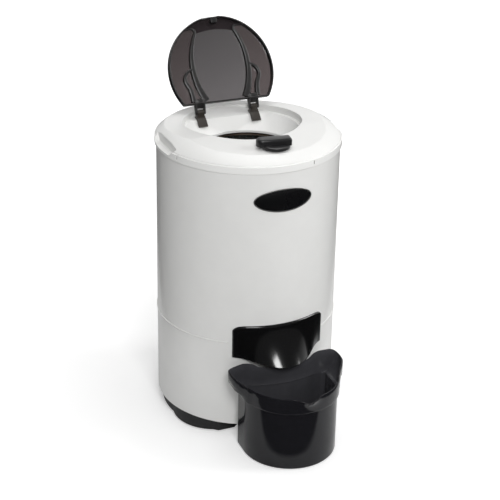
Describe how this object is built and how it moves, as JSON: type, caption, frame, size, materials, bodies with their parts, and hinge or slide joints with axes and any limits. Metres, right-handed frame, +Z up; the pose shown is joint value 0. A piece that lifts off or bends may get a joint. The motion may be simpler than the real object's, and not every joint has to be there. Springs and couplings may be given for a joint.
{
  "type": "laundry spin dryer",
  "caption": "Upright round spin dryer with opened smoked lid, turning knob, spinning basket, outlet spout and a loose rinse-water bucket standing in the bay of its base",
  "frame": {"origin": "on the drum axis at floor level, at the middle of the pad under the base", "axes": "+Z up along the drum axis, -Y towards the front with badge, spout and bucket, +X to the right side seen from behind the front face looking along +Y"},
  "size_m": [0.3512, 0.5103, 0.7336],
  "materials": {
    "black_plastic": "fine grained",
    "rubber": "matte",
    "zinc": "zinc plated",
    "white_paint": "semi-gloss enamel",
    "white_plastic": "satin moulded",
    "badge_black": "gloss",
    "grey_trim": "satin",
    "spout_black": "gloss",
    "cast_alloy": "die cast",
    "core_steel": "stacked sheet",
    "copper": "enamelled copper wire",
    "steel": "ground",
    "tub_plastic": "natural",
    "cable_sheath": "matte",
    "ivory_plastic": "plain",
    "wire_grey": "matte",
    "hinge_plastic": "fine grained",
    "drum_steel": "brushed, perforated",
    "drum_rim_metal": "dark anodised",
    "brake_lining": "matte friction lining",
    "smoked_plastic": "smoked, translucent",
    "bucket_plastic": "smoked, dark"
  },
  "bodies": {
    "housing": {"base_tray": "black_plastic", "rubber_feet": "rubber", "base_screws": "zinc", "lower_casing": "white_paint", "upper_casing": "white_paint", "top_cover": "white_plastic", "cover_clips": "black_plastic", "badge_plate": "badge_black", "badge_rim": "grey_trim", "spout": "spout_black", "spout_screws": "zinc", "support_posts": "cast_alloy", "rubber_mounts": "rubber", "motor_plate": "zinc", "stator_core": "core_steel", "stator_windings": "copper", "motor_bell_top": "cast_alloy", "motor_bell_bottom": "cast_alloy", "motor_bolts": "zinc", "bearing_upper": "steel", "bearing_lower": "steel", "tub": "tub_plastic", "tub_gasket": "rubber", "shaft_seal": "rubber", "brake_pivot": "zinc", "brake_spring": "steel", "cable_bracket": "zinc", "brake_cable": "cable_sheath", "capacitor": "cast_alloy", "capacitor_clip": "zinc", "terminal_block": "ivory_plastic", "wiring_loom": "wire_grey", "cable_clips": "ivory_plastic", "cord_gland": "black_plastic", "lid_switch": "ivory_plastic", "hinge_bracket_left": "hinge_plastic", "hinge_bracket_right": "hinge_plastic"},
    "drum": {"motor_shaft": "steel", "rotor_core": "core_steel", "cooling_fan": "black_plastic", "brake_drum": "cast_alloy", "drum_hub": "cast_alloy", "drum_basket": "drum_steel", "drum_rim": "drum_rim_metal", "drum_nut": "zinc"},
    "brake": {"brake_lever": "zinc", "brake_pad": "brake_lining"},
    "lid": {"lid_panel": "smoked_plastic", "lid_latch_lug": "black_plastic", "hinge_pins": "zinc"},
    "knob": {"control_knob": "black_plastic", "knob_spindle": "zinc", "latch_arm": "zinc"},
    "bucket_body": {"bucket": "bucket_plastic"}
  },
  "joints": [
    {"name": "lid_hinge", "type": "hinge", "parent": "housing", "child": "lid", "pos_m": [0, 0.1079, 0.5679], "axis": [1, 0, 0], "range_deg": [0, 117]},
    {"name": "knob_turn", "type": "hinge", "parent": "housing", "child": "knob", "pos_m": [0, -0.126, 0.575], "axis": [0, 0, -1], "range_deg": [0, 90]},
    {"name": "drum_spin", "type": "hinge", "parent": "housing", "child": "drum", "pos_m": [0, 0, 0.3], "axis": [0, 0, 1], "continuous": true},
    {"name": "brake_turn", "type": "hinge", "parent": "housing", "child": "brake", "pos_m": [0.058, -0.042, 0.1445], "axis": [0, 0, -1], "range_deg": [0, 8]},
    {"name": "bucket_slide", "type": "slide", "parent": "housing", "child": "bucket_body", "axis": [-0.0262, -0.9997, 0], "range_m": [0, 0.35]}
  ],
  "couplings": [
    {"joint": "brake_turn", "follows": "knob_turn", "ratio": 0.088889}
  ]
}
